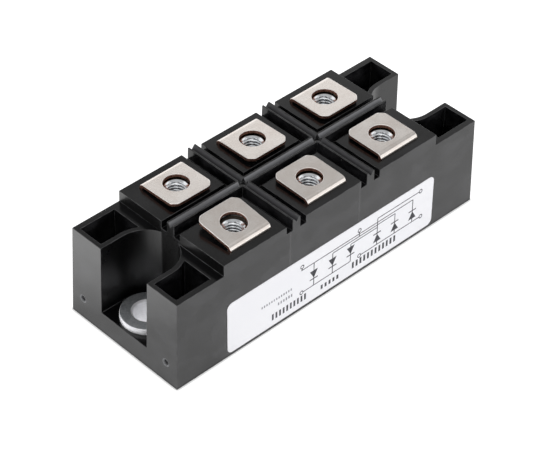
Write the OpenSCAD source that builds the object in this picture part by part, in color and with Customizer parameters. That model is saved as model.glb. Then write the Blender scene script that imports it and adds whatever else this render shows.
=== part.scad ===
// Three-phase bridge rectifier module in millimetres, base at z = 0, centred on X and Y.
// The label is on the long side that faces -Y, and the two mounting bushes lie on the X axis.

/* [Case] */
// Length of the case at its base
case_l = 94; // [90:1:104]
// Width of the case at its base
case_w = 34.8; // [34:0.1:38]
// Height of the four corner towers
tower_h = 23.9; // [22:0.1:24.5]
// Height of the terminal pads
pad_h = 26.8; // [26:0.1:29]
// Lean of each end wall over the tower height
end_draft = 0.65; // [0.2:0.05:0.7]
// Lean of each long wall over the tower height
side_draft = 0.47; // [0.2:0.05:0.6]
// Length of the block that carries the pads
block_l = 65.9; // [64:0.1:66.5]
// Thickness of the outer walls of the corner pockets
pocket_wall = 1.5; // [1.2:0.1:2]
// Thickness of the end walls of the corner pockets
pocket_end_wall = 1.1; // [0.9:0.1:1.6]
// Solid web between a corner pocket and the block
pocket_web = 2.6; // [2:0.1:3.5]
// Thickness of the wall between a pocket and the mounting channel
channel_wall = 1.15; // [1:0.05:1.6]

/* [Mounting] */
// Distance between the two mounting holes
mount_pitch = 80; // [79:0.5:82]
// Thickness of the flange under a mounting channel
flange_t = 5.5; // [4.5:0.1:6.5]
// Width of a mounting channel
channel_w = 14.9; // [14:0.1:15.2]
// Outer diameter of a mounting bush
bush_d = 12.3; // [11:0.1:12.6]
// Height of a mounting bush
bush_h = 7; // [6.6:0.1:8]
// Bore of a mounting bush
bush_bore_d = 6.5; // [6:0.1:7]
// Chamfer at the mouths of a bush
bush_chamfer = 0.4; // [0.2:0.05:0.6]
// Radial clearance round a bush
bush_gap = 0.05; // [0.02:0.01:0.2]
// Diameter of the moulding pits in the end faces
pit_d = 1.2; // [0.8:0.1:1.6]
// Depth of the moulding pits in the end faces
pit_depth = 0.6; // [0.3:0.1:1]
// Distance of the moulding pits from the long faces at the base
pit_inset = 3.7; // [3:0.1:4.2]

/* [Ribs and slots] */
// Distance between terminals along the case
pitch = 23; // [22.5:0.1:23.2]
// Width of a barrier rib
rib_w = 2.3; // [1.8:0.1:2.6]
// Height of a barrier rib above the pads
rib_rise = 1; // [0.6:0.1:1.5]
// Width of the slot on each side of a rib
slot_w = 1.8; // [1.4:0.1:2]
// Depth of the slots below the pads
slot_depth = 2; // [1:0.1:2.4]
// Width of the groove along a rib
groove_w = 1.5; // [1:0.1:1.7]
// Depth of the groove along a rib
groove_depth = 1.05; // [0.5:0.05:1.2]
// Side of the square pit where two ribs cross
cross_pit = 1.7; // [1:0.1:1.8]

/* [Terminals] */
// Distance of the terminal screws from the long axis
row_y = 9.1; // [9:0.1:9.2]
// Thickness of the terminal strip
strip_t = 0.9; // [0.7:0.1:0.9]
// Width of the terminal strip over the nut
strip_w = 11.85; // [11:0.05:12.2]
// Width of the terminal leg inside the case
leg_w = 6; // [4:0.5:7]
// Outer face of a terminal leg from the long axis
leg_y = 14.7; // [14.6:0.05:14.75]
// Outer radius of the bends in the strip
bend_r = 1.35; // [1.2:0.05:1.5]
// Length of the tab from its bend to its free end
tab_l = 10.15; // [9.8:0.05:10.4]
// Height of the top of a tab at its bend
tab_top = 28.15; // [28:0.05:29]
// Cut corners at the free end of a tab
tab_corner = 1.3; // [0.8:0.1:1.8]
// Diameter of the screw hole in a tab
tab_hole_d = 6.1; // [5.5:0.1:6.4]
// Clearance round a strip in its slot
strip_gap = 0.1; // [0.05:0.05:0.15]
// Length of the foot that is soldered down
foot_l = 3.1; // [2.5:0.1:3.2]

/* [Nuts] */
// Width of a captive nut across its flats
nut_af = 8; // [7.8:0.1:8]
// Thickness of a captive nut
nut_t = 4; // [3.5:0.1:4.7]
// Bore of a captive nut, at the crest of its M5 thread
nut_bore_d = 4.2; // [4.1:0.05:4.5]
// Diameter of the chamfer at the mouths of the bore
nut_mouth_d = 5.3; // [5:0.1:5.6]
// Height of a nut's top face above the pad
nut_rise = 0.2; // [0:0.05:0.25]
// Clearance round a nut in its pocket
nut_gap = 0.1; // [0.05:0.05:0.1]
// Bore under a nut for the end of the screw
screw_well_d = 5.6; // [5.2:0.1:6]
// Depth of the screw well under a nut
screw_well_depth = 7.2; // [5:0.1:7.5]
// Diameter of the boss round a screw well
boss_d = 8.4; // [8:0.1:8.6]

/* [Inside] */
// Thickness of the wall that is left at the ends of the cavity
cavity_end_wall = 2.1; // [1.5:0.1:3]
// Half width of the cavity
cavity_y = 14.95; // [14.8:0.05:15.1]
// Height of the cavity roof
cavity_top = 20.5; // [19:0.1:21]
// Length of the base plate
plate_l = 63; // [62:0.5:63]
// Distance of the base plate's sides from the long faces at the base
plate_inset = 1.7; // [1.6:0.1:2]
// Thickness of the base plate
plate_t = 3; // [2:0.5:3.5]
// Clearance round the base plate
plate_gap = 0.05; // [0.02:0.01:0.2]
// Length of the ceramic substrate
ceramic_l = 59; // [58:0.5:60]
// Width of the ceramic substrate
ceramic_w = 26.8; // [26.6:0.1:27.4]
// Thickness of the ceramic
ceramic_t = 0.64; // [0.38:0.01:1]
// Thickness of the copper on each face of the ceramic
copper_t = 0.3; // [0.2:0.05:0.4]
// Bare ceramic at the edge of the copper
copper_margin = 0.4; // [0.3:0.1:0.6]
// Gap between two copper tracks
track_gap = 0.8; // [0.6:0.1:1]
// Side of a diode chip
chip_s = 6; // [5:0.5:6]
// Thickness of a diode chip
chip_t = 0.4; // [0.2:0.05:0.5]
// Thickness of a clip
clip_t = 0.4; // [0.3:0.05:0.5]
// Width of a clip
clip_w = 4; // [3:0.5:4]
// Height of a clip's span above the chips
clip_rise = 1.2; // [0.8:0.1:2]
// Length of the feet of a clip
clip_foot = 2; // [1.5:0.1:2.4]
// Height of the potting
potting_top = 13; // [10:0.5:13]

/* [Label] */
// Length of the label
label_l = 65.2; // [60:0.1:66]
// Height of the label
label_h = 14.7; // [12:0.1:15]
// Height of the label's lower edge
label_z = 0.5; // [0.3:0.1:2]
// Position of the label's centre along the case
label_x = 0.4; // [-1:0.1:1]
// Corner radius of the label
label_r = 1.5; // [0.5:0.1:2]
// Thickness of the label
label_t = 0.12; // [0.08:0.01:0.2]

/* [Hidden] */
$fn = 64;

// Springback of each tab, in degrees: front row, then back row
tab_lift = [[6.5, 1, 0.5], [2, 2, 1.5]];
// Allowance by which a cutting shape passes a face
over = 1;
mount_x = mount_pitch / 2;
rib_x = pitch / 2;
rib_top = pad_h + rib_rise;
slot_z = pad_h - slot_depth;
channel_r = channel_w / 2;
block_x = block_l / 2;
cavity_x = block_x - cavity_end_wall;
pit_y = case_w / 2 - pit_inset;
plate_w = case_w - 2 * plate_inset;
back_copper_z = plate_t;
ceramic_z = back_copper_z + copper_t;
track_z = ceramic_z + ceramic_t;
chip_z = track_z + copper_t;
nut_z = pad_h + nut_rise - nut_t;
bend_y = leg_y - bend_r;
// The copper fields on the ceramic, in rows along the case
track_x = ceramic_l / 2 - copper_margin;
track_y = ceramic_w / 2 - copper_margin;
phase_w = (2 * track_x - 2 * track_gap) / 3;
phase_pitch = phase_w + track_gap;
phase_y = 3.2;
common_a_y = phase_y - track_gap;
common_a_depth = 8;
common_b_y = common_a_y - common_a_depth - track_gap;
common_b_x = -17.6;
// Chips and clips from the centre of their phase field
chip_a_dx = -5;
chip_a_y = -1.5;
chip_b_dx = 4;
chip_b_y = phase_y + 0.4 + chip_s / 2;
clip_a_land_y = phase_y + 0.3 + clip_foot / 2;
clip_b_land_y = common_b_y - 0.3 - clip_foot / 2;

// How far the outer walls have leaned in at height z
function end_lean(z) = end_draft * z / tower_h;
function side_lean(z) = side_draft * z / tower_h;
function side_y(z) = case_w / 2 - side_lean(z);
function terminal_x(i) = (i - 2) * pitch;
function phase_x(i) = (i - 2) * phase_pitch;

// Extrudes an outline drawn in X and Z across the whole case
module across_y() {
    rotate([90, 0, 0]) linear_extrude(height = case_w + 2 * over, center = true) children();
}

// Extrudes an outline drawn in Y and Z to a length along X
module along_x(length) {
    rotate([90, 0, 90]) linear_extrude(height = length, center = true) children();
}

module end_outline() {
    top_x = case_l / 2 - end_lean(tower_h);
    polygon([
        [-case_l / 2, 0], [case_l / 2, 0], [top_x, tower_h], [block_x, tower_h],
        [block_x, rib_top], [-block_x, rib_top], [-block_x, tower_h], [-top_x, tower_h]
    ]);
}

module side_outline() {
    polygon([
        [-side_y(0), 0], [side_y(0), 0], [side_y(rib_top), rib_top], [-side_y(rib_top), rib_top]
    ]);
}

// Plan of the barrier ribs, widened on every side by a margin
module rib_plan(margin) {
    square([block_l + 2 * over, rib_w + 2 * margin], center = true);
    for (x = [-rib_x, rib_x])
        translate([x, 0]) square([rib_w + 2 * margin, case_w + 2 * over], center = true);
}

// Everything above the pads but the ribs, with the slots beside them
module top_relief() {
    translate([0, 0, pad_h]) linear_extrude(height = rib_rise + over)
        difference() {
            square([block_l + 2 * over, case_w + 2 * over], center = true);
            rib_plan(0);
        }
    translate([0, 0, slot_z]) linear_extrude(height = slot_depth + over)
        difference() {
            rib_plan(slot_w);
            rib_plan(0);
        }
}

module groove_section() {
    polygon([[-groove_w / 2, rib_top + 0.01], [0, rib_top - groove_depth], [groove_w / 2, rib_top + 0.01]]);
}

module rib_grooves() {
    along_x(block_l + 2 * over) groove_section();
    for (x = [-rib_x, rib_x]) {
        translate([x, 0, 0]) across_y() groove_section();
        translate([x, 0, rib_top - groove_depth])
            linear_extrude(height = groove_depth + over) square(cross_pit, center = true);
    }
}

// Plan of the right-hand mounting channel, widened by a margin
module channel_plan(margin) {
    radius = channel_r + margin;
    intersection() {
        union() {
            translate([mount_x, 0]) circle(r = radius);
            translate([mount_x, -radius]) square([case_l / 2, 2 * radius]);
        }
        translate([block_x, -case_w]) square([case_l, 2 * case_w]);
    }
}

// Plan of the right-hand rear corner pocket
module pocket_plan() {
    near_x = block_x + pocket_web;
    far_x = case_l / 2 - end_lean(tower_h) - pocket_end_wall;
    far_y = side_y(tower_h) - pocket_wall;
    difference() {
        translate([near_x, channel_r]) square([far_x - near_x, far_y - channel_r]);
        channel_plan(channel_wall);
    }
}

module corner_relief() {
    for (end = [0, 1])
        mirror([end, 0, 0]) {
            translate([0, 0, flange_t]) linear_extrude(height = case_w) channel_plan(0);
            translate([mount_x, 0, -over]) cylinder(d = bush_d + 2 * bush_gap, h = flange_t + 2 * over);
            for (side = [0, 1])
                mirror([0, side, 0]) {
                    translate([0, 0, flange_t]) linear_extrude(height = case_w) pocket_plan();
                    translate([case_l / 2 - end_lean(flange_t) - pit_depth, pit_y, flange_t])
                        rotate([0, 90, 0]) cylinder(d = pit_d, h = pit_depth + over);
                }
        }
}

// Seat of the base plate and the space above it, less the six screw bosses
module inner_space() {
    translate([-plate_l / 2 - plate_gap, -plate_w / 2 - plate_gap, -over])
        cube([plate_l + 2 * plate_gap, plate_w + 2 * plate_gap, plate_t + over]);
    difference() {
        translate([-cavity_x, -cavity_y, 0]) cube([2 * cavity_x, 2 * cavity_y, cavity_top]);
        for (i = [1, 2, 3], y = [-row_y, row_y])
            translate([terminal_x(i), y, nut_z - screw_well_depth - over])
                cylinder(d = boss_d, h = cavity_top);
    }
}

module hexagon(flats) {
    circle(d = flats / cos(30), $fn = 6);
}

// Pocket, screw well and strip slot of one terminal
module terminal_seat() {
    translate([0, row_y, nut_z]) linear_extrude(height = nut_t + over) hexagon(nut_af + 2 * nut_gap);
    translate([0, row_y, nut_z - screw_well_depth]) cylinder(d = screw_well_d, h = screw_well_depth + over);
    translate([0, leg_y - strip_t / 2, pad_h / 2 + cavity_top / 2])
        cube([strip_w + 2 * strip_gap, strip_t + 2 * strip_gap, pad_h - cavity_top + 2 * over], center = true);
}

module housing() {
    color("#2b2b2e")
        difference() {
            intersection() {
                across_y() end_outline();
                along_x(case_l + 2 * over) side_outline();
            }
            top_relief();
            rib_grooves();
            corner_relief();
            inner_space();
            for (i = [1, 2, 3], side = [0, 1])
                mirror([0, side, 0]) translate([terminal_x(i), 0, 0]) terminal_seat();
        }
}

module rounded_plan(length, width, radius) {
    square([length - 2 * radius, width], center = true);
    square([length, width - 2 * radius], center = true);
    for (x = [-1, 1], y = [-1, 1])
        translate([x * (length / 2 - radius), y * (width / 2 - radius)]) circle(r = radius);
}

// The label lies flat on the leaning front wall
module label() {
    top_z = label_z + label_h;
    color("#f2f2f5")
        intersection() {
            along_x(case_l)
                polygon([
                    [-side_y(0), 0], [-side_y(pad_h), pad_h],
                    [-side_y(pad_h) - label_t, pad_h], [-side_y(0) - label_t, 0]
                ]);
            translate([label_x, 0, (label_z + top_z) / 2])
                rotate([90, 0, 0]) linear_extrude(height = case_w, center = false)
                    rounded_plan(label_l, label_h, label_r);
        }
}

module base_plate() {
    color("#c9a27a")
        translate([-plate_l / 2, -plate_w / 2, 0]) cube([plate_l, plate_w, plate_t]);
}

module bush(x) {
    color("#b9bcc0")
        translate([x, 0, 0]) rotate_extrude()
            polygon([
                [bush_bore_d / 2 + bush_chamfer, 0], [bush_d / 2, 0],
                [bush_d / 2, bush_h - bush_chamfer / 2], [bush_d / 2 - bush_chamfer / 2, bush_h],
                [bush_bore_d / 2 + bush_chamfer, bush_h], [bush_bore_d / 2, bush_h - bush_chamfer],
                [bush_bore_d / 2, bush_chamfer]
            ]);
}

// A quarter ring in Y and Z, from straight out along Y up through an angle
module bend_section(angle) {
    difference() {
        circle(r = bend_r);
        circle(r = bend_r - strip_t);
        rotate(angle) translate([-2 * bend_r, 0]) square(4 * bend_r);
        translate([-2 * bend_r, -4 * bend_r]) square(4 * bend_r);
    }
}

// Side view of a strip in Y and Z: tab, bend, leg, bend and foot
module strip_section(lift) {
    translate([bend_y, tab_top - bend_r]) {
        bend_section(90 - lift);
        rotate(-lift) translate([-tab_l, bend_r - strip_t]) square([tab_l, strip_t]);
    }
    translate([leg_y - strip_t, chip_z + bend_r])
        square([strip_t, tab_top - chip_z - 2 * bend_r]);
    translate([bend_y, chip_z + bend_r]) {
        mirror([0, 1]) bend_section(90);
        translate([-foot_l, -bend_r]) square([foot_l, strip_t]);
    }
}

// What is cut from a tab: its screw hole and the corners of its free end
module tab_cuts() {
    translate([0, row_y - bend_y, 0]) cylinder(d = tab_hole_d, h = 2 * bend_r);
    for (side = [-1, 1])
        translate([side * strip_w / 2, -tab_l, bend_r])
            rotate([0, 0, 45]) cube([tab_corner * sqrt(2), tab_corner * sqrt(2), 2 * bend_r], center = true);
}

// One terminal of the back row at x = 0
module terminal_strip(lift) {
    shoulder_z = cavity_top - over;
    difference() {
        along_x(strip_w) strip_section(lift);
        translate([0, bend_y, tab_top - bend_r]) rotate([-lift, 0, 0]) tab_cuts();
        for (side = [-1, 1])
            translate([side * (leg_w + strip_w) / 2, 0, shoulder_z / 2])
                cube([strip_w, case_w, shoulder_z], center = true);
    }
}

module terminal(i, row) {
    color("#c8c2b4")
        mirror([0, 1 - row, 0]) translate([terminal_x(i), 0, 0]) terminal_strip(tab_lift[row][i - 1]);
}

module nut(i, row) {
    mouth = (nut_mouth_d - nut_bore_d) / 2;
    color("#d4d6d8")
        translate([terminal_x(i), (2 * row - 1) * row_y, nut_z])
            difference() {
                linear_extrude(height = nut_t) hexagon(nut_af);
                translate([0, 0, -over]) cylinder(d = nut_bore_d, h = nut_t + 2 * over);
                translate([0, 0, nut_t - mouth]) cylinder(d1 = nut_bore_d, d2 = nut_mouth_d, h = mouth);
                cylinder(d1 = nut_mouth_d, d2 = nut_bore_d, h = mouth);
            }
}

module substrate_back_copper() {
    color("#b87347")
        translate([-track_x, -track_y, back_copper_z]) cube([2 * track_x, 2 * track_y, copper_t]);
}

module ceramic_substrate() {
    color("#f4f2ec")
        translate([-ceramic_l / 2, -ceramic_w / 2, ceramic_z]) cube([ceramic_l, ceramic_w, ceramic_t]);
}

module track_phase(i) {
    color("#b87347")
        translate([phase_x(i) - phase_w / 2, phase_y, track_z])
            cube([phase_w, track_y - phase_y, copper_t]);
}

// The long middle field, which turns towards the first front terminal
module track_common_a() {
    color("#b87347")
        translate([0, 0, track_z]) linear_extrude(height = copper_t)
            polygon([
                [-track_x, common_a_y], [track_x, common_a_y],
                [track_x, common_a_y - common_a_depth],
                [common_b_x - track_gap, common_a_y - common_a_depth],
                [common_b_x - track_gap, -track_y], [-track_x, -track_y]
            ]);
}

module track_common_b() {
    color("#b87347")
        translate([common_b_x, -track_y, track_z])
            cube([track_x - common_b_x, track_y + common_b_y, copper_t]);
}

module chip_a(i) {
    color("#4b5560")
        translate([phase_x(i) + chip_a_dx - chip_s / 2, chip_a_y - chip_s / 2, chip_z])
            cube([chip_s, chip_s, chip_t]);
}

module chip_b(i) {
    color("#4b5560")
        translate([phase_x(i) + chip_b_dx - chip_s / 2, chip_b_y - chip_s / 2, chip_z])
            cube([chip_s, chip_s, chip_t]);
}

// A bridge from a chip's top at chip_y down to a track at land_y
module clip(x, chip_y, land_y) {
    toward = sign(land_y - chip_y);
    half = clip_foot / 2;
    high = chip_z + chip_t;
    span = high + clip_rise;
    color("#c08a58")
        translate([x, 0, 0]) along_x(clip_w)
            polygon([
                [chip_y - toward * half, high], [chip_y + toward * half, high],
                [chip_y + toward * half, span], [land_y - toward * half, span],
                [land_y - toward * half, chip_z], [land_y + toward * half, chip_z],
                [land_y + toward * half, chip_z + clip_t], [land_y - toward * (half - clip_t), chip_z + clip_t],
                [land_y - toward * (half - clip_t), span + clip_t],
                [chip_y + toward * (half - clip_t), span + clip_t],
                [chip_y + toward * (half - clip_t), high + clip_t], [chip_y - toward * half, high + clip_t]
            ]);
}

module clip_a(i) {
    clip(phase_x(i) + chip_a_dx, chip_a_y, clip_a_land_y);
}

module clip_b(i) {
    clip(phase_x(i) + chip_b_dx, chip_b_y, clip_b_land_y);
}

// Fills the cavity over the base plate, round all that stands in it
module potting() {
    color([0.85, 0.82, 0.7, 0.6])
        difference() {
            translate([-cavity_x, -cavity_y, plate_t])
                cube([2 * cavity_x, 2 * cavity_y, potting_top - plate_t]);
            substrate_back_copper();
            ceramic_substrate();
            track_common_a();
            track_common_b();
            for (i = [1, 2, 3]) {
                track_phase(i);
                chip_a(i);
                chip_b(i);
                clip_a(i);
                clip_b(i);
                terminal(i, 0);
                terminal(i, 1);
            }
        }
}

housing();
label();
base_plate();
bush(-mount_x);  // bush_left
bush(mount_x);  // bush_right
terminal(1, 0);  // terminal_front_1
terminal(2, 0);  // terminal_front_2
terminal(3, 0);  // terminal_front_3
terminal(1, 1);  // terminal_back_1
terminal(2, 1);  // terminal_back_2
terminal(3, 1);  // terminal_back_3
nut(1, 0);  // nut_front_1
nut(2, 0);  // nut_front_2
nut(3, 0);  // nut_front_3
nut(1, 1);  // nut_back_1
nut(2, 1);  // nut_back_2
nut(3, 1);  // nut_back_3
substrate_back_copper();
ceramic_substrate();
track_phase(1);  // track_phase_1
track_phase(2);  // track_phase_2
track_phase(3);  // track_phase_3
track_common_a();
track_common_b();
chip_a(1);  // chip_a_1
chip_a(2);  // chip_a_2
chip_a(3);  // chip_a_3
chip_b(1);  // chip_b_1
chip_b(2);  // chip_b_2
chip_b(3);  // chip_b_3
clip_a(1);  // clip_a_1
clip_a(2);  // clip_a_2
clip_a(3);  // clip_a_3
clip_b(1);  // clip_b_1
clip_b(2);  // clip_b_2
clip_b(3);  // clip_b_3
potting();
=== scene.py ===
# Three-phase bridge rectifier module. The base stands on z = 0, X runs along the case and the label faces -Y.
import math
import bmesh
import bpy
from mathutils import Matrix, Vector


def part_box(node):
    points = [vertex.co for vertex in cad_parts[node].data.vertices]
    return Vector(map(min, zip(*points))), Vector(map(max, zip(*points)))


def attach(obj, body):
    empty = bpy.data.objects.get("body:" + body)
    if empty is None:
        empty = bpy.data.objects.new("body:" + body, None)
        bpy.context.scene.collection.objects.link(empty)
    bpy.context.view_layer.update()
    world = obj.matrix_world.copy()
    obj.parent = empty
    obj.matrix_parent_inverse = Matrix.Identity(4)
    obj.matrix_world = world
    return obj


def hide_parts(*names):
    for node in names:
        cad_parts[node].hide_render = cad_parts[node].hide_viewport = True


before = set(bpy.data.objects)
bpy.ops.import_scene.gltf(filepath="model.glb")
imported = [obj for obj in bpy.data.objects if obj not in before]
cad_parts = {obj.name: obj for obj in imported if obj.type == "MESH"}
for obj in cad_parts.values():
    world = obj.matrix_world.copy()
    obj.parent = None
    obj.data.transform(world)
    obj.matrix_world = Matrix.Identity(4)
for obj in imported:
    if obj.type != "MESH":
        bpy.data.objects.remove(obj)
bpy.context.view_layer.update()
mm = 0.001
sideLean = 0.47 / 23.9  # how far the long walls lean in for each unit of height
print("frame loaded:", len(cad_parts), "nodes")


# Small helpers for nodes and objects
def feed(tree, socket, value):  # a link from another socket, or a plain value
    if isinstance(value, bpy.types.NodeSocket):
        tree.links.new(value, socket)
    else:
        socket.default_value = value


def addNode(tree, kind, inputs=None, **settings):
    node = tree.nodes.new(kind)
    for key, value in settings.items():
        setattr(node, key, value)
    for key, value in (inputs or {}).items():
        feed(tree, node.inputs[key], value)
    return node


def calc(tree, operation, *values, clamp=False):  # one Math node, from sockets or numbers
    node = addNode(tree, "ShaderNodeMath", dict(enumerate(values)), operation=operation, use_clamp=clamp)
    return node.outputs[0]


def span(tree, first, second):  # the length of a flat vector
    squares = [calc(tree, "MULTIPLY", side, side) for side in (first, second)]
    return calc(tree, "SQRT", calc(tree, "ADD", *squares))


def ramp(tree, value, low, high, toLow=0.0, toHigh=1.0):  # a clamped, straight rescaling
    names = {"Value": value, "From Min": low, "From Max": high, "To Min": toLow, "To Max": toHigh}
    return addNode(tree, "ShaderNodeMapRange", names).outputs[0]


def noise(tree, coords, scale, detail, roughness=0.5):
    names = {"Vector": coords, "Scale": scale, "Detail": detail, "Roughness": roughness}
    return addNode(tree, "ShaderNodeTexNoise", names).outputs[0]


def blendColor(tree, mask, first, second):
    node = addNode(tree, "ShaderNodeMix", data_type="RGBA")
    for place, value in ((0, mask), (6, first), (7, second)):  # the factor and the two colours
        feed(tree, node.inputs[place], (*value, 1) if isinstance(value, tuple) else value)
    return node.outputs[2]


def newGroup(name, takes, gives, kind="ShaderNodeTree"):  # a node group with named sockets
    tree = bpy.data.node_groups.new(name, kind)
    for title, socketKind, value in takes:
        socket = tree.interface.new_socket(title, in_out="INPUT", socket_type="NodeSocket" + socketKind)
        if value is not None:
            socket.default_value = value
    for title, socketKind in gives:
        tree.interface.new_socket(title, in_out="OUTPUT", socket_type="NodeSocket" + socketKind)
    return tree, addNode(tree, "NodeGroupInput").outputs, addNode(tree, "NodeGroupOutput").inputs


def useGroup(tree, group, coords, inputs):
    return addNode(tree, "ShaderNodeGroup", {"Coords": coords, **inputs}, node_tree=group).outputs


def newMaterial(name, **shader):  # the numbers that are the same all over go on the shader itself
    material = bpy.data.materials.new(name)
    material.use_nodes = True
    tree = material.node_tree
    principled = tree.nodes["Principled BSDF"]
    for key, value in shader.items():
        title = {"ior": "IOR", "through": "Transmission Weight"}.get(key, key.capitalize())
        principled.inputs[title].default_value = value
    coords = addNode(tree, "ShaderNodeTexCoord").outputs["Object"]
    return material, tree, principled, coords


def linkShader(tree, principled, color, roughness, normal):
    for title, socket in (("Base Color", color), ("Roughness", roughness), ("Normal", normal)):
        tree.links.new(socket, principled.inputs[title])


def linkObject(name, data):
    thing = bpy.data.objects.new(name, data)
    bpy.context.scene.collection.objects.link(thing)
    return thing


def meshFrom(bm, name):
    mesh = bpy.data.meshes.new(name)
    bm.to_mesh(mesh)
    bm.free()
    return mesh


# Shader groups that several finishes share
def makeEdgeWearAndPaintedLight():  # the marked faces, mostly rounded edges, broken up by noise: wear on the strips, and painted light where a finish gives them its own tone
    takes = [("Coords", "Vector", None), ("Scale", "Float", 600.0), ("Break Up", "Float", 0.5)]
    tree, given, out = newGroup("edgeWearAndPaintedLight", takes, [("Mask", "Float")])
    edge = addNode(tree, "ShaderNodeAttribute", attribute_name="edge").outputs["Fac"]
    broken = ramp(tree, noise(tree, given["Coords"], given["Scale"], 3.0), 0.35, 0.65)
    kept = calc(tree, "SUBTRACT", 1.0, calc(tree, "MULTIPLY", given["Break Up"], broken))
    tree.links.new(calc(tree, "MULTIPLY", edge, kept, clamp=True), out["Mask"])
    return tree


def makeFineGrain():  # even, fine mottling with a shallow bump, and broad clouds
    takes = [("Coords", "Vector", None), ("Scale", "Float", 2500.0), ("Depth", "Float", 0.00001),
             ("Cloud Scale", "Float", 90.0)]
    gives = [("Grain", "Float"), ("Cloud", "Float"), ("Normal", "Vector")]
    tree, given, out = newGroup("fineGrain", takes, gives)
    grain = noise(tree, given["Coords"], given["Scale"], 4.0, 0.6)
    cloud = noise(tree, given["Coords"], given["Cloud Scale"], 3.0)
    bump = addNode(tree, "ShaderNodeBump", {"Height": grain, "Distance": given["Depth"]})
    for title, value in (("Grain", grain), ("Cloud", cloud), ("Normal", bump.outputs[0])):
        tree.links.new(value, out[title])
    return tree


def makeRolledGrain():  # long, thin marks along one direction, set by the stretch
    takes = [("Coords", "Vector", None), ("Stretch", "Vector", (1, 1, 1)), ("Depth", "Float", 0.00001)]
    tree, given, out = newGroup("rolledGrain", takes, [("Streak", "Float"), ("Normal", "Vector")])
    factors = {0: given["Coords"], 1: given["Stretch"]}
    mapped = addNode(tree, "ShaderNodeVectorMath", factors, operation="MULTIPLY").outputs[0]
    streak = noise(tree, mapped, 1.0, 5.0, 0.65)
    bump = addNode(tree, "ShaderNodeBump", {"Height": streak, "Distance": given["Depth"]})
    tree.links.new(streak, out["Streak"])
    tree.links.new(bump.outputs[0], out["Normal"])
    return tree


def makeTurning():  # rings left by a lathe tool round the local Z axis
    takes = [("Coords", "Vector", None), ("Pitch", "Float", 0.00012), ("Depth", "Float", 0.00001)]
    tree, given, out = newGroup("turning", takes, [("Ring", "Float"), ("Normal", "Vector")])
    parts = addNode(tree, "ShaderNodeSeparateXYZ", {0: given["Coords"]}).outputs
    path = calc(tree, "ADD", span(tree, parts[0], parts[1]), parts[2])
    turns = {"W": calc(tree, "DIVIDE", path, given["Pitch"]), "Scale": 1.0, "Detail": 2.0}
    line = addNode(tree, "ShaderNodeTexNoise", turns, noise_dimensions="1D").outputs[0]
    bump = addNode(tree, "ShaderNodeBump", {"Height": line, "Distance": given["Depth"]})
    tree.links.new(line, out["Ring"])
    tree.links.new(bump.outputs[0], out["Normal"])
    return tree


def makeDust():  # a few pale specks: most cells hold none
    takes = [("Coords", "Vector", None), ("Scale", "Float", 700.0), ("Size", "Float", 0.12),
             ("Bare", "Float", 0.975)]
    tree, given, out = newGroup("dust", takes, [("Mask", "Float")])
    spread = {"Vector": given["Coords"], "Scale": given["Scale"]}
    cells = addNode(tree, "ShaderNodeTexVoronoi", spread).outputs
    speck = calc(tree, "LESS_THAN", cells["Distance"], given["Size"])
    chance = addNode(tree, "ShaderNodeSeparateColor", {0: cells["Color"]}).outputs[0]
    rare = calc(tree, "GREATER_THAN", chance, given["Bare"])
    tree.links.new(calc(tree, "MULTIPLY", speck, rare), out["Mask"])
    return tree


edgeWearAndPaintedLight, fineGrain, rolledGrain = makeEdgeWearAndPaintedLight(), makeFineGrain(), makeRolledGrain()
turning, dust = makeTurning(), makeDust()


# Finishes
def makeCasePlastic(name, dark, light, roughLow, roughHigh, filmed=0.0):
    look = {"bloom": (0.024, 0.024, 0.026), "edge": (0.07, 0.07, 0.073), "flow": (0.06, 0.06, 0.063),
            "speck": (0.20, 0.20, 0.19), "cloudRough": 0.07}
    weld = {"places": (-13.3 * mm, 8.2 * mm), "half": 0.4 * mm, "strength": 0.5, "wall": -16.6 * mm}
    material, tree, principled, coords = newMaterial(name, ior=1.49)
    grain = useGroup(tree, fineGrain, coords, {"Scale": 2600.0, "Depth": 0.000004, "Cloud Scale": 70.0})
    color = blendColor(tree, ramp(tree, grain["Cloud"], 0.3, 0.7), dark, light)
    parts = addNode(tree, "ShaderNodeSeparateXYZ", {0: coords}).outputs
    normal = addNode(tree, "ShaderNodeNewGeometry").outputs["Normal"]
    facing = addNode(tree, "ShaderNodeSeparateXYZ", {0: normal}).outputs[2]
    upright = ramp(tree, calc(tree, "ABSOLUTE", facing), 0.1, 0.5, 1.0, 0.0)
    smear = useGroup(tree, rolledGrain, coords, {"Stretch": (130.0, 130.0, 210.0), "Depth": 0.0})
    film = ramp(tree, smear["Streak"], 0.42, 0.68, 0.0, filmed)  # a dull film on the walls
    color = blendColor(tree, calc(tree, "MULTIPLY", film, upright), color, look["bloom"])
    front = calc(tree, "LESS_THAN", parts[1], weld["wall"])
    for place in weld["places"]:  # faint weld lines in the long wall, under the ribs
        away = calc(tree, "ABSOLUTE", calc(tree, "SUBTRACT", parts[0], place))
        line = calc(tree, "MULTIPLY", ramp(tree, away, 0.0, weld["half"], weld["strength"], 0.0), front)
        color = blendColor(tree, line, color, look["flow"])
    # The rounded edges take a lighter tone: partly edge wear, partly a painted highlight.
    edgeMask = useGroup(tree, edgeWearAndPaintedLight, coords, {"Scale": 500.0, "Break Up": 0.85})
    color = blendColor(tree, edgeMask["Mask"], color, look["edge"])
    specks = useGroup(tree, dust, coords, {"Scale": 480.0, "Size": 0.055})
    color = blendColor(tree, specks["Mask"], color, look["speck"])
    rough = calc(tree, "ADD", ramp(tree, grain["Grain"], 0.3, 0.7, roughLow, roughHigh),
                 ramp(tree, grain["Cloud"], 0.4, 0.7, 0.0, look["cloudRough"]))
    linkShader(tree, principled, color, rough, grain["Normal"])
    return material


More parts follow.
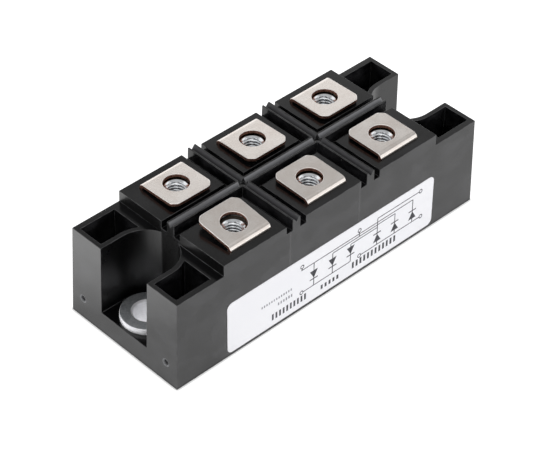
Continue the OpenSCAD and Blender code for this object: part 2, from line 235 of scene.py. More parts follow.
def makeLabelFilm():
    look = {"film": (0.955, 0.955, 0.985), "shade": (0.93, 0.93, 0.965), "rim": (0.66, 0.66, 0.68)}
    material, tree, principled, coords = newMaterial("labelFilm", ior=1.45)
    grain = useGroup(tree, fineGrain, coords, {"Scale": 3500.0, "Depth": 0.000004, "Cloud Scale": 60.0})
    color = blendColor(tree, ramp(tree, grain["Cloud"], 0.35, 0.65), look["film"], look["shade"])
    edgeMask = useGroup(tree, edgeWearAndPaintedLight, coords, {"Scale": 400.0, "Break Up": 0.4})
    # The film's edge faces take a darker tone, a painted shadow line along the label's edge.
    color = blendColor(tree, edgeMask["Mask"], color, look["rim"])
    linkShader(tree, principled, color, ramp(tree, grain["Grain"], 0.3, 0.7, 0.5, 0.62), grain["Normal"])
    return material


def makeInk(name, ink, faded):
    material, tree, principled, coords = newMaterial(name, ior=1.45)
    grain = useGroup(tree, fineGrain, coords, {"Scale": 6000.0, "Depth": 0.000002, "Cloud Scale": 500.0})
    color = blendColor(tree, ramp(tree, grain["Cloud"], 0.35, 0.7), ink, faded)
    linkShader(tree, principled, color, ramp(tree, grain["Grain"], 0.3, 0.7, 0.45, 0.6), grain["Normal"])
    return material


def makePlated():
    look = {"bright": (0.96, 0.91, 0.865), "dull": (0.85, 0.775, 0.72), "rub": (0.97, 0.94, 0.91),
            "rough": (0.16, 0.24), "polish": 0.04}
    material, tree, principled, coords = newMaterial("platedStrip", metallic=1.0)
    grain = useGroup(tree, rolledGrain, coords, {"Stretch": (1900.0, 5200.0, 1900.0), "Depth": 0.000008})
    cloud = useGroup(tree, fineGrain, coords, {"Scale": 4200.0, "Depth": 0.000006, "Cloud Scale": 230.0})
    halves = [calc(tree, "MULTIPLY", value, 0.5) for value in (grain["Streak"], cloud["Cloud"])]
    mask = calc(tree, "ADD", *halves)
    color = blendColor(tree, ramp(tree, mask, 0.38, 0.62), look["bright"], look["dull"])
    edgeMask = useGroup(tree, edgeWearAndPaintedLight, coords, {"Scale": 900.0, "Break Up": 0.3})
    color = blendColor(tree, edgeMask["Mask"], color, look["rub"])
    rough = calc(tree, "SUBTRACT", ramp(tree, grain["Streak"], 0.3, 0.7, *look["rough"]),
                 calc(tree, "MULTIPLY", edgeMask["Mask"], look["polish"]))
    linkShader(tree, principled, color, rough, grain["Normal"])
    return material


def makeCutCopper():
    look = {"bare": (0.56, 0.30, 0.225), "dark": (0.22, 0.11, 0.084), "rub": (0.76, 0.50, 0.40)}
    material, tree, principled, coords = newMaterial("cutCopper", metallic=1.0)
    shear = useGroup(tree, rolledGrain, coords, {"Stretch": (3600.0, 3600.0, 500.0), "Depth": 0.00003})
    color = blendColor(tree, ramp(tree, shear["Streak"], 0.36, 0.6), look["dark"], look["bare"])
    edgeMask = useGroup(tree, edgeWearAndPaintedLight, coords, {"Scale": 1500.0, "Break Up": 0.8})
    color = blendColor(tree, edgeMask["Mask"], color, look["rub"])
    linkShader(tree, principled, color, ramp(tree, shear["Streak"], 0.3, 0.7, 0.5, 0.34), shear["Normal"])
    return material


def makeZinc(name, look, centre):  # the marked faces take the 'turned' tone: a turned face on the bush, and on the nut's top a painted reflection of the shaded copper hole wall; the others are left as plated
    material, tree, principled, coords = newMaterial(name, metallic=1.0)
    shift = (-centre[0], -centre[1], 0)
    placed = addNode(tree, "ShaderNodeMapping", {"Vector": coords, "Location": shift}).outputs[0]
    rings = useGroup(tree, turning, placed, {"Pitch": look["pitch"], "Depth": 0.000006})
    cloud = useGroup(tree, fineGrain, coords, {"Scale": 3000.0, "Cloud Scale": 300.0})
    shares = ((rings["Ring"], 0.6), (cloud["Cloud"], 0.4))
    mask = calc(tree, "ADD", *[calc(tree, "MULTIPLY", value, share) for value, share in shares])
    color = blendColor(tree, ramp(tree, mask, 0.36, 0.64), look["bright"], look["dull"])
    faced = useGroup(tree, edgeWearAndPaintedLight, coords, {"Scale": 2200.0, "Break Up": 0.25})
    color = blendColor(tree, faced["Mask"], color, look["turned"])
    others = calc(tree, "SUBTRACT", 1.0, faced["Mask"])
    rough = calc(tree, "ADD", ramp(tree, rings["Ring"], 0.3, 0.7, *look["rough"]),
                 calc(tree, "MULTIPLY", look["sideRough"], others))
    linkShader(tree, principled, color, rough, rings["Normal"])
    return material


def makeCopper(name, bright, tarnish, stretch, rough):
    material, tree, principled, coords = newMaterial(name, metallic=1.0)
    grain = useGroup(tree, rolledGrain, coords, {"Stretch": stretch, "Depth": 0.000008})
    cloud = useGroup(tree, fineGrain, coords, {"Scale": 2000.0, "Cloud Scale": 120.0})
    color = blendColor(tree, ramp(tree, cloud["Cloud"], 0.4, 0.7), bright, tarnish)
    color = blendColor(tree, ramp(tree, grain["Streak"], 0.45, 0.7, 0.0, 0.35), color, tarnish)
    even = ramp(tree, grain["Streak"], 0.3, 0.7, rough - 0.06, rough + 0.08)
    linkShader(tree, principled, color, even, grain["Normal"])
    return material


def makeMineral(name, first, second, cloudScale, rough, **shader):
    material, tree, principled, coords = newMaterial(name, **shader)
    grain = useGroup(tree, fineGrain, coords, {"Scale": 5000.0, "Depth": 0.000005,
                                       "Cloud Scale": cloudScale})
    color = blendColor(tree, ramp(tree, grain["Cloud"], 0.35, 0.65), first, second)
    even = ramp(tree, grain["Grain"], 0.3, 0.7, rough, rough + 0.1)
    linkShader(tree, principled, color, even, grain["Normal"])
    return material


# Each plastic: its two tones, its roughness from low to high, and how much film lies on it
casePlastic = makeCasePlastic("casePlastic", (0.0010, 0.0010, 0.0012), (0.0045, 0.0045, 0.0051), 0.12, 0.19,
                              filmed=1.0)
# The channel copy is rougher and a little darker than the case plastic; the darker tone is painted shade.
channelShadePlastic = makeCasePlastic("channelShadePlastic", (0.0008, 0.0008, 0.0009), (0.0020, 0.0020, 0.0023),
                                 0.26, 0.33)
# The rib and groove slope plastics are lighter copies of the black case plastic: a painted highlight.
ribHighlightPlastic = makeCasePlastic("ribHighlightPlastic", (0.150, 0.152, 0.160), (0.180, 0.182, 0.192), 0.34, 0.44)
grooveHighlightPlastic = makeCasePlastic("grooveHighlightPlastic", (0.030, 0.030, 0.033), (0.040, 0.040, 0.044), 0.36, 0.46)
labelFilm = makeLabelFilm()
inkDark = makeInk("inkDark", (0.022, 0.022, 0.028), (0.055, 0.055, 0.066))
inkFine = makeInk("inkFine", (0.03, 0.03, 0.038), (0.07, 0.07, 0.085))
inkPale = makeInk("inkPale", (0.22, 0.22, 0.24), (0.38, 0.38, 0.41))
platedStrip, cutCopper = makePlated(), makeCutCopper()
copperPlate = makeCopper("copperPlate", (0.74, 0.42, 0.28), (0.50, 0.25, 0.15), (60.0, 2400.0, 2400.0), 0.34)
copperTrack = makeCopper("copperTrack", (0.76, 0.45, 0.31), (0.58, 0.31, 0.2), (1500.0, 1500.0, 1500.0), 0.38)
clipCopper = makeCopper("clipCopper", (0.70, 0.40, 0.26), (0.45, 0.23, 0.14), (2400.0, 200.0, 2400.0), 0.3)
ceramicWhite = makeMineral("ceramicWhite", (0.82, 0.81, 0.77), (0.74, 0.73, 0.69), 180.0, 0.5)
siliconGrey = makeMineral("siliconGrey", (0.16, 0.18, 0.21), (0.22, 0.24, 0.28), 900.0, 0.25, metallic=0.4)
pottingGel = makeMineral("pottingGel", (0.66, 0.61, 0.48), (0.58, 0.53, 0.41), 110.0, 0.12,
                         ior=1.41, through=0.25)
print("materials made")


# Meshes
def mergedCopy(nodeName, flatAngle=0.4):  # a node's mesh with its loose triangles joined into faces
    bm = bmesh.new()
    bm.from_mesh(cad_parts[nodeName].data)
    bmesh.ops.remove_doubles(bm, verts=bm.verts, dist=0.003 * mm)
    bmesh.ops.dissolve_limit(bm, angle_limit=math.radians(flatAngle), verts=bm.verts, edges=bm.edges)
    return bm


def footCentre(nodeName):  # the middle of a node's underside, and its height
    low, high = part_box(nodeName)
    return Vector(((low.x + high.x) / 2, (low.y + high.y) / 2, low.z)), high.z - low.z


def bevelEdges(bm, edges, width, segments, **settings):
    return bmesh.ops.bevel(bm, geom=edges, offset=width, offset_type="OFFSET", segments=segments, profile=0.5,
                           affect="EDGES", **settings)["faces"]


def roundEdges(bm, width, segments, sharp=30, wanted=None):  # gives back the narrow faces
    chosen = [e for e in bm.edges if len(e.link_faces) == 2 and e.calc_face_angle(0) > math.radians(sharp)
              and (wanted is None or wanted(e))]
    bevelEdges(bm, chosen, width, segments, clamp_overlap=False)
    return [f for f in bm.faces if f.calc_area() < width * max(e.calc_length() for e in f.edges)]


def markFaces(bm, name, faces):  # a mask that materials read, black everywhere else
    layer = bm.loops.layers.float_color.new(name)
    marked = set(faces)
    for face in bm.faces:
        level = 1 if face in marked else 0
        for loop in face.loops:
            loop[layer] = (level, level, level, 1)


def ringPoint(centre, radius, angle, z):
    return centre + Vector((radius * math.cos(angle), radius * math.sin(angle), z))


def ringSurface(rings):  # a closed surface through rings of points, each a list of the same length
    bm = bmesh.new()
    loops = [[bm.verts.new(point) for point in ring] for ring in rings]
    count = len(loops[0])
    for first, second in zip(loops, loops[1:] + loops[:1]):
        for k in range(count):
            following = (k + 1) % count
            bm.faces.new((first[k], first[following], second[following], second[k]))
    bmesh.ops.recalc_face_normals(bm, faces=bm.faces)
    return bm


def addPiece(name, bm, materials, nodeName, sharp=35, evenNormals=True):
    mesh = meshFrom(bm, name)
    piece = linkObject(name, mesh)
    for material in materials:
        mesh.materials.append(material)
    mesh.polygons.foreach_set("use_smooth", [True] * len(mesh.polygons))
    mesh.set_sharp_from_angle(angle=math.radians(sharp))
    if evenNormals:  # broad faces keep their normal and the roundings take the turn
        steady = piece.modifiers.new("steady", "WEIGHTED_NORMAL")
        steady.keep_sharp = True
        steady.weight = 100
        made = bpy.data.meshes.new_from_object(piece.evaluated_get(bpy.context.evaluated_depsgraph_get()))
        piece.modifiers.remove(steady)
        piece.data = made
        made.name = name
    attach(piece, "root")
    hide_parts(nodeName)
    return piece


def makeCase():
    size = {"edge": 0.1 * mm, "segments": 2, "sharp": 32, "rim": 0.45 * mm, "rimSegments": 3}
    ribs = {"foot": 26.6 * mm, "half": 0.9 * mm, "crossX": 11.5 * mm}
    channel = {"near": 30 * mm, "far": 46.5 * mm, "half": 8 * mm}
    pits = {"x": 46.4 * mm, "y": (12.4 * mm, 15 * mm), "z": (2 * mm, 9 * mm), "longest": 0.5 * mm}

    def atPit(vertex):
        x, y, z = vertex.co
        return abs(x) > pits["x"] and pits["y"][0] < abs(y) < pits["y"][1] and pits["z"][0] < z < pits["z"][1]

    bm = mergedCopy("housing")
    for face in bm.faces:  # the slopes of the rib grooves and the channel walls are matter; the rib slopes also take a lighter tone, a painted highlight, and the channel walls a slightly darker one, painted shade
        x, y, z = face.calc_center_median()
        sloped = z > ribs["foot"] and 0.2 < face.normal.z < 0.9
        inChannel = channel["near"] < abs(x) < channel["far"] and abs(y) < channel["half"]
        if sloped and abs(y) < ribs["half"]:
            face.material_index = 1
        elif sloped and abs(abs(x) - ribs["crossX"]) < ribs["half"]:
            face.material_index = 2
        elif inChannel and abs(face.normal.z) < 0.5:
            face.material_index = 3
    # The pit rims take the lighter rib plastic too, a painted highlight where the rim catches light.
    rims = [e for e in bm.edges if e.calc_length() < pits["longest"] and all(atPit(v) for v in e.verts)]
    for face in bevelEdges(bm, rims, size["rim"], size["rimSegments"]):
        face.material_index = 1
    # The rounded edges are marked for the lighter edge tone, partly wear and partly a painted highlight.
    markFaces(bm, "edge", roundEdges(bm, size["edge"], size["segments"], size["sharp"]))
    finishes = [casePlastic, ribHighlightPlastic, grooveHighlightPlastic, channelShadePlastic]
    return addPiece("case", bm, finishes, "housing")


def makeLabel():
    size = {"foot": 0.42 * mm}  # the strip of case left bare below it
    low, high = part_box("label")
    bm = mergedCopy("label", 0.05)
    for vertex in bm.verts:
        lift = size["foot"] * (high.z - vertex.co.z) / (high.z - low.z)
        vertex.co.z += lift
        vertex.co.y += lift * sideLean
    # The edge faces are marked for the darker rim tone, a painted shadow line.
    markFaces(bm, "edge", [f for f in bm.faces if abs(f.normal.y) < 0.5])
    addPiece("label_film", bm, [labelFilm], "label")


def makeTerminal(row, index):
    nodeName = "terminal_%s_%d" % (row, index)
    size = {"edge": 0.13 * mm, "segments": 3, "bend": 1.4175 * mm, "tab": 11.9 * mm, "tabDrop": 2.2 * mm,
            "corner": 0.5 * mm, "cornerSegments": 4, "cornerWithin": 2.2 * mm, "cornerTallest": 1.2 * mm}
    low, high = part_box(nodeName)
    outer, inward = (high.y, -1) if row == "back" else (low.y, 1)
    freeEnd = outer + inward * size["tab"]
    bm = mergedCopy(nodeName, 0.2)
    corners = []
    for edge in bm.edges:
        start, end = (v.co for v in edge.verts)
        upright = abs((start - end).normalized().z) > 0.9 and edge.calc_length() < size["cornerTallest"]
        atEnd = abs(start.y - freeEnd) < size["cornerWithin"]
        if upright and atEnd and len(edge.link_faces) == 2 and edge.calc_face_angle(0) > 0.5:
            corners.append(edge)
    bevelEdges(bm, corners, size["corner"], size["cornerSegments"])
    for face in bm.faces:  # stamped edges are bare copper: the sides, the free end and the hole
        centre = face.calc_center_median()
        onTab = centre.z > high.z - size["tabDrop"] and abs(centre.y - outer) > size["bend"]
        if abs(face.normal.x) > 0.25 or (onTab and abs(face.normal.z) < 0.6):
            face.material_index = 1

    def parts(edge):  # an edge between plating and bare copper
        return edge.link_faces[0].material_index != edge.link_faces[1].material_index

    rounded = roundEdges(bm, size["edge"], size["segments"], wanted=parts)
    for face in rounded:  # the die pulls the plating over the upper edge
        face.material_index = 0 if face.normal.z > 0.25 else 1
    markFaces(bm, "edge", [f for f in rounded if f.normal.z > 0.1])
    addPiece(nodeName + "_strip", bm, [platedStrip, cutCopper], nodeName)


def makeNut(row, index):
    nodeName = "nut_%s_%d" % (row, index)
    centre, height = footCentre(nodeName)
    size = {"flats": 8 * mm, "pitch": 0.8 * mm, "crest": 2.08 * mm, "root": 2.54 * mm, "mouth": 2.65 * mm,
            "flank": 1.5, "land": 0.25, "around": 84, "perTurn": 10, "landing": 3.85 * mm, "chamfer": 30}
    # The nut's 'turned' tone is brown: a painted reflection of the copper hole wall in shade.
    look = {"bright": (0.92, 0.94, 0.96), "dull": (0.80, 0.83, 0.86), "turned": (0.30, 0.25, 0.19),
            "rough": (0.10, 0.2), "sideRough": 0.0, "pitch": 0.0002}
    angles = [2 * math.pi * k / size["around"] for k in range(size["around"])]

    def hexRadius(angle):
        return size["flats"] / 2 / math.cos((angle % (math.pi / 3)) - math.pi / 6)

    def drop(angle):  # the chamfer rises into the corners
        return max(0.0, hexRadius(angle) - size["landing"]) * math.tan(math.radians(size["chamfer"]))

    def thread(angle, z):
        turn = (z / size["pitch"] - angle / (2 * math.pi)) % 1.0
        wave = min(1.0, max(0.0, abs(2 * turn - 1) * size["flank"] - size["land"]))
        return max(size["crest"] + (size["root"] - size["crest"]) * wave,
                   size["mouth"] - z, size["mouth"] - (height - z))

    rings = [[ringPoint(centre, size["landing"], a, 0) for a in angles],
             [ringPoint(centre, hexRadius(a), a, drop(a)) for a in angles],
             [ringPoint(centre, hexRadius(a), a, height - drop(a)) for a in angles],
             [ringPoint(centre, size["landing"], a, height) for a in angles]]
    steps = int(round(height / size["pitch"] * size["perTurn"]))
    for step in range(steps, -1, -1):
        z = height * step / steps
        rings.append([ringPoint(centre, thread(a, z), a, z) for a in angles])
    bm = ringSurface(rings)
    # The top face is marked for the brown tone, a painted reflection of the copper hole wall in shade.
    top = centre.z + height - 0.1 * mm
    markFaces(bm, "edge", [f for f in bm.faces if f.normal.z > 0.95 and f.calc_center_median().z > top])
    zinc = makeZinc("zinc_" + nodeName, look, centre)
    addPiece(nodeName + "_hex", bm, [zinc], nodeName, sharp=28, evenNormals=False)


def makeBush(side):
    nodeName = "bush_" + side
    centre, height = footCentre(nodeName)
    bore, outer, chamfer, burr, around = 3.25 * mm, 6.15 * mm, 0.4 * mm, 0.05 * mm, 128
    look = {"bright": (0.96, 0.96, 0.97), "dull": (0.88, 0.88, 0.90), "turned": (0.40, 0.42, 0.44),
            "rough": (0.42, 0.58), "sideRough": 0.32, "pitch": 0.00016}
    rounding = [(outer - inset * mm, height - drop * mm)
                for inset, drop in ((0, 0.3), (0.04, 0.12), (0.12, 0.04), (0.25, 0))]
    profile = [(bore + chamfer, 0), (outer - burr, 0), (outer, burr), *rounding,
               (bore + chamfer, height), (bore + 0.12 * mm, height - 0.18 * mm),
               (bore, height - chamfer), (bore, chamfer)]
    turns = [2 * math.pi * k / around for k in range(around)]
    bm = ringSurface([[ringPoint(centre, radius, a, z) for a in turns] for radius, z in profile])
    top = centre.z + 6 * mm
    markFaces(bm, "edge", [f for f in bm.faces if f.normal.z > 0.95 and f.calc_center_median().z > top])
    steel = makeZinc("steel_" + nodeName, look, centre)
    addPiece(nodeName + "_turned", bm, [steel], nodeName, sharp=30)


case = makeCase()
print("case made:", len(case.data.polygons), "faces")
makeLabel()
places = [(row, index) for row in ("front", "back") for index in (1, 2, 3)]
for row, index in places:
    makeTerminal(row, index)
for row, index in places:
    makeNut(row, index)
for side in ("left", "right"):
    makeBush(side)
print("metal parts made")

# CAD nodes that keep their own shape
nodeFinish = {
    "base_plate": copperPlate, "substrate_back_copper": copperTrack, "ceramic_substrate": ceramicWhite,
    "potting": pottingGel, "track": copperTrack, "chip": siliconGrey, "clip": clipCopper,
}
for nodeName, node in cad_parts.items():
    finish = nodeFinish.get(nodeName) or nodeFinish.get(nodeName.split("_")[0])
    if finish:
        node.data.materials.clear()
        node.data.materials.append(finish)


# The drawing on the label, made by Geometry Nodes
def newGeometryTree(name, takes):
    takes = [("Geometry", "Geometry", None), *takes, ("Film", "Float", 0.00002), ("Ink", "Material", None)]
    return newGroup(name, takes, [("Geometry", "Geometry")], "GeometryNodeTree")


def endTree(tree, out, geometry, material):
    real = addNode(tree, "GeometryNodeRealizeInstances", {0: geometry}).outputs[0]
    painted = addNode(tree, "GeometryNodeSetMaterial", {"Geometry": real, "Material": material}).outputs[0]
    tree.links.new(painted, out[0])


def makeStrokeTree():  # lines of ink along the edges of a drawing
    tree, given, out = newGeometryTree("inkStrokes", [("Width", "Float", 0.0002)])
    path = addNode(tree, "GeometryNodeMeshToCurve", {0: given["Geometry"]}).outputs[0]
    section = {"Width": given["Width"], "Height": given["Film"]}
    profile = addNode(tree, "GeometryNodeCurvePrimitiveQuadrilateral", section).outputs[0]
    sweep = {"Curve": path, "Profile Curve": profile, "Fill Caps": True}
    endTree(tree, out, addNode(tree, "GeometryNodeCurveToMesh", sweep).outputs[0], given["Ink"])
    return tree


def makeSymbolTree():  # a diode sign on each point: a triangle and a bar, turned over where "turned" is set
    tree, given, out = newGeometryTree("diodeSigns", [("Size", "Float", 0.0022), ("Bar", "Float", 0.0003)])
    share = {"corner": 0.5774, "bar": 0.68}  # from the triangle's middle, as shares of the size

    def vector(*values):
        return addNode(tree, "ShaderNodeCombineXYZ", dict(enumerate(values))).outputs[0]

    corners = {"Vertices": 3, "Radius": 1.0}
    disc = addNode(tree, "GeometryNodeMeshCircle", corners, fill_type="NGON").outputs[0]
    half = calc(tree, "MULTIPLY", given["Size"], share["corner"])
    upright = {"Geometry": disc, "Scale": vector(half, half, half), "Rotation": (0, 0, math.pi / 2)}
    triangle = addNode(tree, "GeometryNodeTransform", upright).outputs[0]
    raised = {"Mesh": triangle, "Offset Scale": given["Film"]}
    solid = addNode(tree, "GeometryNodeExtrudeMesh", raised).outputs[0]
    flipped = addNode(tree, "GeometryNodeFlipFaces", {0: triangle}).outputs[0]
    barSize = vector(given["Size"], given["Bar"], given["Film"])
    bar = addNode(tree, "GeometryNodeMeshCube", {"Size": barSize}).outputs[0]
    barPlace = vector(0.0, calc(tree, "MULTIPLY", given["Size"], share["bar"]),
                      calc(tree, "MULTIPLY", given["Film"], 0.5))
    bar = addNode(tree, "GeometryNodeTransform", {"Geometry": bar, "Translation": barPlace}).outputs[0]
    sign = addNode(tree, "GeometryNodeJoinGeometry")
    for part in (solid, flipped, bar):
        tree.links.new(part, sign.inputs[0])
    turned = addNode(tree, "GeometryNodeInputNamedAttribute", {"Name": "turned"}, data_type="FLOAT")
    placed = {"Points": given["Geometry"], "Instance": sign.outputs[0],
              "Rotation": vector(0.0, 0.0, turned.outputs[0])}
    endTree(tree, out, addNode(tree, "GeometryNodeInstanceOnPoints", placed).outputs[0], given["Ink"])
    return tree


def runTree(name, tree, vertices, edges, values, attributes=None):  # drawing units are millimetres, x and z
    mesh = bpy.data.meshes.new(name)
    mesh.from_pydata([Vector((x, z, 0)) * mm for x, z in vertices], edges, [])
    for title, numbers in (attributes or {}).items():
        mesh.attributes.new(title, "FLOAT", "POINT").data.foreach_set("value", numbers)
    maker = linkObject(name + "Maker", mesh)
    modifier = maker.modifiers.new("nodes", "NODES")
    modifier.node_group = tree
    for item in tree.interface.items_tree:
        if item.in_out == "INPUT" and item.name in values:
            modifier[item.identifier] = values[item.name]
    bpy.context.view_layer.update()
    made = bpy.data.meshes.new_from_object(maker.evaluated_get(bpy.context.evaluated_depsgraph_get()))
    bpy.data.objects.remove(maker)
    return made


def layOnWall(mesh, name):  # from the flat drawing onto the leaning front wall
    wall = {"half": 17.4 * mm, "film": 0.12 * mm}
    for vertex in mesh.vertices:
        x, z, out = vertex.co
        vertex.co = (x, -(wall["half"] + wall["film"] + out) + sideLean * z, z)
    bm = bmesh.new()
    bm.from_mesh(mesh)
    bmesh.ops.remove_doubles(bm, verts=bm.verts, dist=0.001 * mm)
    bmesh.ops.recalc_face_normals(bm, faces=bm.faces)
    bm.to_mesh(mesh)
    bm.free()
    mesh.name = name
    piece = linkObject(name, mesh)
    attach(piece, "root")


def makeSigns(size):
    signs = [(x, size["downZ"]) for x in size["down"]] + [(x, size["upZ"]) for x in size["up"]]
    turns = [math.pi] * len(size["down"]) + [0.0] * len(size["up"])
    values = {"Size": size["sign"] * mm, "Film": size["film"] * mm, "Bar": size["bar"] * mm, "Ink": inkDark}
    return runTree("signs", makeSymbolTree(), signs, [], values, {"turned": turns})


def makeStrokes(size):
    ring, bus, around = size["ring"], size["bus"], size["around"]
    high, middle, low = size["feeds"]
    down, up = size["down"], size["up"]
    topLeft, topMiddle, topRight = size["ringsTop"]
    lowLeft, lowMiddle, lowRight = size["ringsLow"]
    lines = [((x, feed), (x, bus)) for x, feed in zip(down, size["feeds"])]
    lines += [((x, bus), (x, end)) for x, end in zip(up, (topRight[1], middle, high))]
    lines += [((size["feedStart"], high), (up[2], high)),
              ((topLeft[0], high), (topLeft[0], topLeft[1] - ring)),
              ((down[1], middle), (up[1], middle)), ((down[2], low), (up[0], low)),
              ((topMiddle[0], middle), (topMiddle[0], topMiddle[1] - ring)),
              ((up[0], topRight[1]), (topRight[0] - ring, topRight[1])),
              ((lowLeft[0] + ring, bus), (down[2], bus)),
              ((lowMiddle[0] + ring, bus), (lowRight[0] - ring, bus))]
    points, edges = [], []
    for start, end in lines:
        edges.append((len(points), len(points) + 1))
        points += [start, end]
    turns = [2 * math.pi * k / around for k in range(around)]
    for x, z in size["ringsTop"] + size["ringsLow"]:
        first = len(points)
        points += [(x + ring * math.cos(a), z + ring * math.sin(a)) for a in turns]
        edges += [(first + k, first + (k + 1) % around) for k in range(around)]
    values = {"Width": size["line"] * mm, "Film": size["film"] * 2 * mm, "Ink": inkFine}
    return runTree("strokes", makeStrokeTree(), points, edges, values)


def makeDrawing():  # two groups of three diodes between a bus and three feeds, with a ring at each open end
    size = {"down": (-5.9, 0.0, 5.8), "up": (14.4, 20.2, 26.1), "downZ": 8.85, "upZ": 6.85, "sign": 2.5,
            "bar": 0.3, "line": 0.24, "film": 0.012, "bus": 5.15, "ring": 0.48, "around": 20,
            "ringsTop": ((-9.6, 12.7), (8.5, 12.75), (28.6, 12.9)), "feeds": (11.75, 11.0, 10.25),
            "ringsLow": ((-9.7, 5.15), (8.7, 5.15), (29.1, 5.15)), "feedStart": -9.9}
    signs, strokes = makeSigns(size), makeStrokes(size)
    layOnWall(signs, "label_signs")
    layOnWall(strokes, "label_lines")


def makeTextRows():  # plain bars in the place of print: start, foot, count, pitch, height and ink of each row
    rows = ((-19.1, 2.5, 10, 1.11, 1.75, 0), (-3.9, 2.4, 5, 1.25, 1.2, 0), (6.1, 2.6, 12, 1.24, 1.8, 0),
            (-22.2, 7.8, 13, 0.74, 0.6, 1), (-17.2, 5.9, 6, 0.8, 0.8, 1))
    film, fill = 0.012 * mm, 0.5
    bm = bmesh.new()
    for start, foot, count, pitch, tall, ink in rows:
        for k in range(count):
            middle = Vector((start + pitch * (k + 0.5), foot + tall / 2, 0)) * mm
            scale = Matrix.Diagonal((fill * pitch * mm, tall * mm, film, 1))
            known = set(bm.faces)
            shift = Matrix.Translation(middle + Vector((0, 0, film / 2)))
            bmesh.ops.create_cube(bm, size=1, matrix=shift @ scale)
            for face in set(bm.faces) - known:
                face.material_index = ink
    mesh = meshFrom(bm, "label_rows")
    for ink in (inkDark, inkPale):
        mesh.materials.append(ink)
    layOnWall(mesh, "label_rows")


makeDrawing()
makeTextRows()
print("label drawing made")


# Studio
def makeFloor():
    size = {"radius": 6, "segments": 64, "drop": 0.02 * mm}
    white = {"glow": 0.62, "grey": 0.95, "matt": 0.8}  # as seen, and as it lights matt surfaces
    paintedPool = {"centre": (-0.15, 0.06, 0.0), "inner": 0.092, "outer": 0.111, "high": 2.35, "low": 1.22,
            "shade": 0.5, "grey": 0.67}  # as mirrored: a painted pool of light on the floor, brightest near its centre at the back left, that glossy rays see in place of the even white
    foot = {"half": (47.0 * mm, 17.45 * mm), "far": 0.5 * mm, "dark": 0.15,
            "bolt": 40 * mm, "bore": 3.4 * mm}  # a painted shadow right at the case
    bm = bmesh.new()
    bmesh.ops.create_circle(bm, cap_ends=True, radius=size["radius"], segments=size["segments"],
                            matrix=Matrix.Translation((0, 0, -size["drop"])))
    mesh = meshFrom(bm, "floor")
    floor = linkObject("floor", mesh)
    material = bpy.data.materials.new("floorWhite")
    material.use_nodes = True
    tree = material.node_tree
    tree.nodes.clear()
    rays = addNode(tree, "ShaderNodeLightPath").outputs
    cameraRay = rays["Is Camera Ray"]
    place = addNode(tree, "ShaderNodeTexCoord").outputs["Object"]
    ends = {0: place, 1: paintedPool["centre"]}
    away = addNode(tree, "ShaderNodeVectorMath", ends, operation="DISTANCE").outputs[1]
    level = ramp(tree, away, paintedPool["inner"], paintedPool["outer"], paintedPool["high"], paintedPool["low"])
    mirrored = calc(tree, "SUBTRACT", level, paintedPool["shade"])
    strength = addNode(tree, "ShaderNodeMix", {0: cameraRay, 2: mirrored, 3: white["glow"]}).outputs[0]
    along = addNode(tree, "ShaderNodeSeparateXYZ", {0: place}).outputs
    beyond = [calc(tree, "MAXIMUM", calc(tree, "SUBTRACT", calc(tree, "ABSOLUTE", along[k]), half), 0.0)
              for k, half in enumerate(foot["half"])]
    # Painted contact shadow: the floor's glow fades towards the case footprint.
    near = ramp(tree, span(tree, *beyond), 0.0, foot["far"], foot["dark"], 1.0)
    fromBolt = calc(tree, "SUBTRACT", calc(tree, "ABSOLUTE", along[0]), foot["bolt"])
    inBore = calc(tree, "LESS_THAN", span(tree, fromBolt, along[1]), foot["bore"])
    kept = calc(tree, "MAXIMUM", near, inBore)  # the floor still shows white through the bolt holes
    strength = calc(tree, "MULTIPLY", strength, kept)
    glow = addNode(tree, "ShaderNodeEmission", {"Color": (1, 1, 1, 1), "Strength": strength}).outputs[0]
    grey = ramp(tree, cameraRay, 0.0, 1.0, paintedPool["grey"], white["grey"])
    thin = addNode(tree, "ShaderNodeBsdfDiffuse", {"Color": grey}).outputs[0]
    bright = addNode(tree, "ShaderNodeAddShader", {0: glow, 1: thin}).outputs[0]
    matt = addNode(tree, "ShaderNodeBsdfDiffuse", {"Color": (white["matt"],) * 3 + (1,)}).outputs[0]
    bounced = calc(tree, "MAXIMUM", rays["Is Glossy Ray"], rays["Is Transmission Ray"])
    seen = calc(tree, "MAXIMUM", cameraRay, bounced)
    both = addNode(tree, "ShaderNodeMixShader", {0: seen, 1: matt, 2: bright}).outputs[0]
    addNode(tree, "ShaderNodeOutputMaterial", {"Surface": both})
    mesh.materials.append(material)


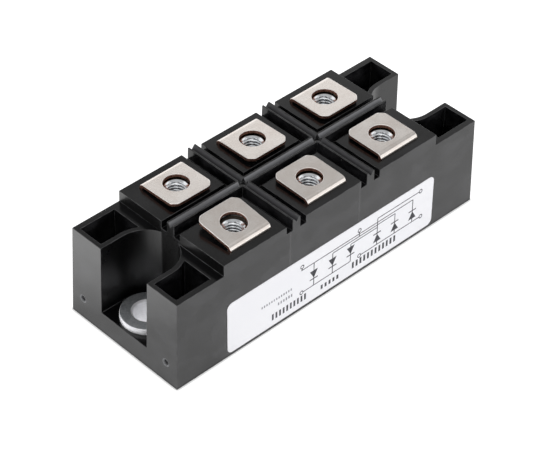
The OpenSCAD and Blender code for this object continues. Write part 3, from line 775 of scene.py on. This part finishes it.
def makeWorld():  # gloss mirrors a grey that changes with height, and matt surfaces get an even level
    light = {"heights": (0.0, 0.48, 0.56, 0.595, 0.62, 0.69, 0.75, 0.85, 0.93),
             "levels": (1.0, 1.0, 0.97, 0.82, 0.39, 0.33, 0.48, 0.48, 1.0), "matt": 0.66}
    world = bpy.data.worlds.new("studio")
    bpy.context.scene.world = world
    world.use_nodes = True
    tree = world.node_tree
    tree.nodes.clear()
    toSky = addNode(tree, "ShaderNodeTexCoord").outputs["Generated"]
    up = addNode(tree, "ShaderNodeSeparateXYZ", {0: toSky}).outputs[2]
    steps = addNode(tree, "ShaderNodeValToRGB", {0: up})
    stops = steps.color_ramp.elements
    stops.remove(stops[1])
    stops[0].color = (light["levels"][0],) * 3 + (1,)
    for height, level in zip(light["heights"][1:], light["levels"][1:]):
        stops.new(height).color = (level, level, level, 1)
    rays = addNode(tree, "ShaderNodeLightPath").outputs
    matt = rays["Is Diffuse Ray"]
    mirrored = calc(tree, "MULTIPLY", steps.outputs[0], calc(tree, "SUBTRACT", 1.0, matt))
    lit = calc(tree, "MAXIMUM", mirrored, calc(tree, "MULTIPLY", light["matt"], matt))
    level = calc(tree, "MAXIMUM", rays["Is Camera Ray"], lit)
    background = addNode(tree, "ShaderNodeBackground", {"Color": (1, 1, 1, 1), "Strength": level})
    addNode(tree, "ShaderNodeOutputWorld", {"Surface": background.outputs[0]})


def softLamp(name, towards, width, height, power):
    rig = {"distance": 0.8, "aim": Vector((0, 0, 15 * mm))}
    data = bpy.data.lights.new(name, "AREA")
    data.shape, data.size, data.size_y, data.energy = "RECTANGLE", width, height, power
    lamp = linkObject(name, data)
    lamp.location = rig["aim"] + Vector(towards).normalized() * rig["distance"]
    lamp.rotation_euler = (rig["aim"] - lamp.location).to_track_quat("-Z", "Y").to_euler()
    lamp.visible_glossy = False  # gloss mirrors the even studio, not the lamp's outline


def makeCamera():
    shot = {"azimuth": -44.9, "elevation": 40.8, "roll": 1.52, "distance": 481.51 * mm, "lens": 141.5453,
            "sensor": 36, "aim": (-1.98 * mm, -4.33 * mm), "height": 14 * mm, "clip": (0.01, 50)}
    a, e, roll = (math.radians(shot[key]) for key in ("azimuth", "elevation", "roll"))
    back = Vector((math.sin(a) * math.cos(e), -math.cos(a) * math.cos(e), math.sin(e)))
    right = Vector((math.cos(a), math.sin(a), 0))
    up = back.cross(right)
    target = Vector((0, 0, shot["height"])) + right * shot["aim"][0] + up * shot["aim"][1]
    axisX = right * math.cos(roll) + up * math.sin(roll)
    axisY = up * math.cos(roll) - right * math.sin(roll)
    data = bpy.data.cameras.new("camera")
    data.lens, data.sensor_width = shot["lens"], shot["sensor"]
    data.clip_start, data.clip_end = shot["clip"]
    camera = linkObject("camera", data)
    turn = Matrix((axisX, axisY, back)).transposed().to_4x4()
    camera.matrix_world = Matrix.Translation(target + back * shot["distance"]) @ turn
    bpy.context.scene.camera = camera


makeFloor()
makeWorld()
softLamp("lampFront", (0.534, -0.781, 0.30), 0.62, 0.36, 2.6)
softLamp("lampEnd", (-0.80, 0.50, 0.30), 0.5, 0.36, 1.2)
makeCamera()
bpy.context.scene.view_settings.view_transform = "Standard"
print("studio made")
